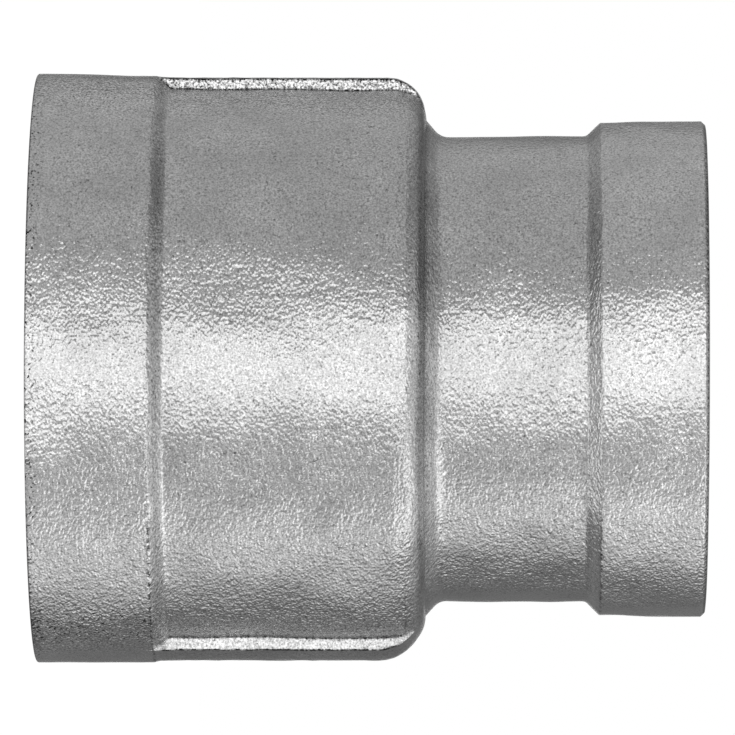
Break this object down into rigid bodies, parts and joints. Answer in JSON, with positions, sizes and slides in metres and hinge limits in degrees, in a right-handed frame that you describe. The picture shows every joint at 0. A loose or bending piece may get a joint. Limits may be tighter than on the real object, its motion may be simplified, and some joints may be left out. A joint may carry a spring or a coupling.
{
  "type": "reducing coupling",
  "caption": "Banded reducing socket, bored and threaded at both mouths, that joins a larger and a smaller threaded pipe in one straight line.",
  "frame": {"origin": "centre of the large end's face, on which the fitting stands", "axes": "+Z along the waterway, from the large end to the small end; the wrench ribs lie on the +X and -X sides"},
  "size_m": [0.028, 0.028, 0.0318],
  "materials": {
    "cast_stainless": "blasted investment casting with machined faces and bores"
  },
  "bodies": {
    "root": {"coupling_body": "cast_stainless"}
  },
  "joints": []
}
